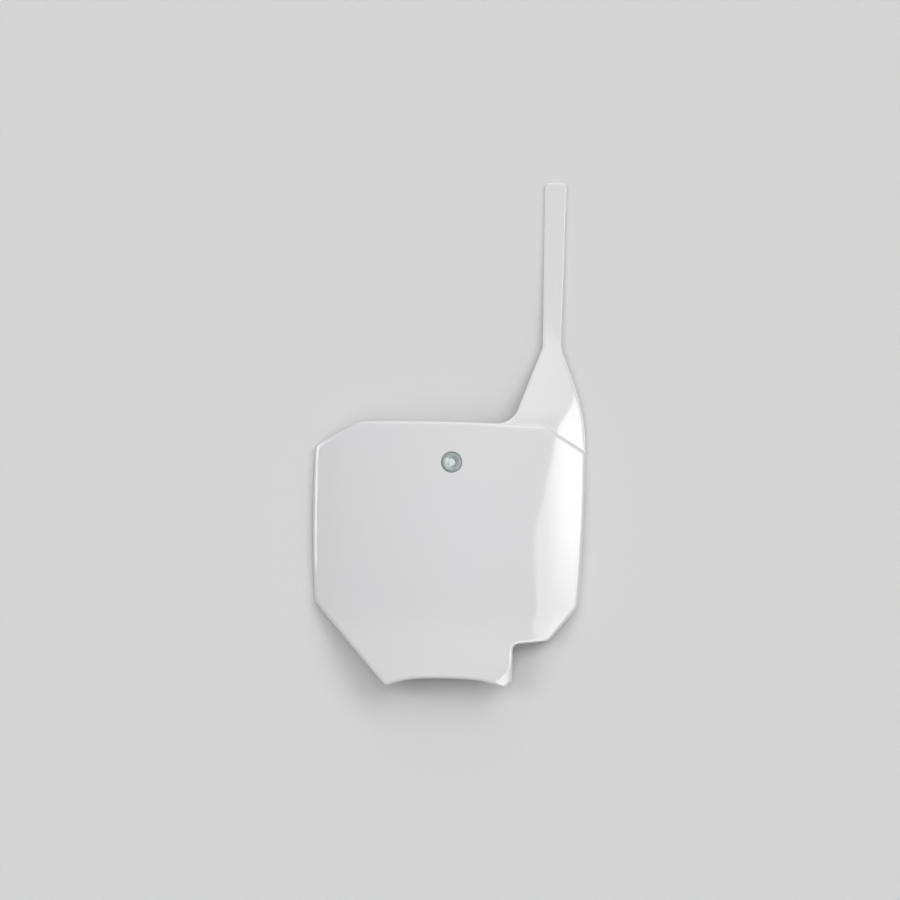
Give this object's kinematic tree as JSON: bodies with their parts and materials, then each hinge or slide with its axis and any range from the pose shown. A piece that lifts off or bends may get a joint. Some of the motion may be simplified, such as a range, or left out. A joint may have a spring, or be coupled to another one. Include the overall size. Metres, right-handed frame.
{
  "type": "racing number board",
  "caption": "Curved white front number board with a turned-back rim, a notched lower corner, a long strap at its upper corner and a steel collar in its screw seat.",
  "frame": {"origin": "centre of the mouth of the screw hole, at the bottom of the dish in the collar's flange", "axes": "+Z out of the board's face, +Y up the board along its strap, +X towards the side that carries the strap and the notch"},
  "size_m": [0.2446, 0.4558, 0.0418],
  "materials": {
    "board_plastic": "gloss, white moulded polypropylene",
    "collar_steel": "satin, pale blue-green zinc plating"
  },
  "bodies": {
    "root": {"number_plate": "board_plastic", "screw_collar": "collar_steel"}
  },
  "joints": []
}
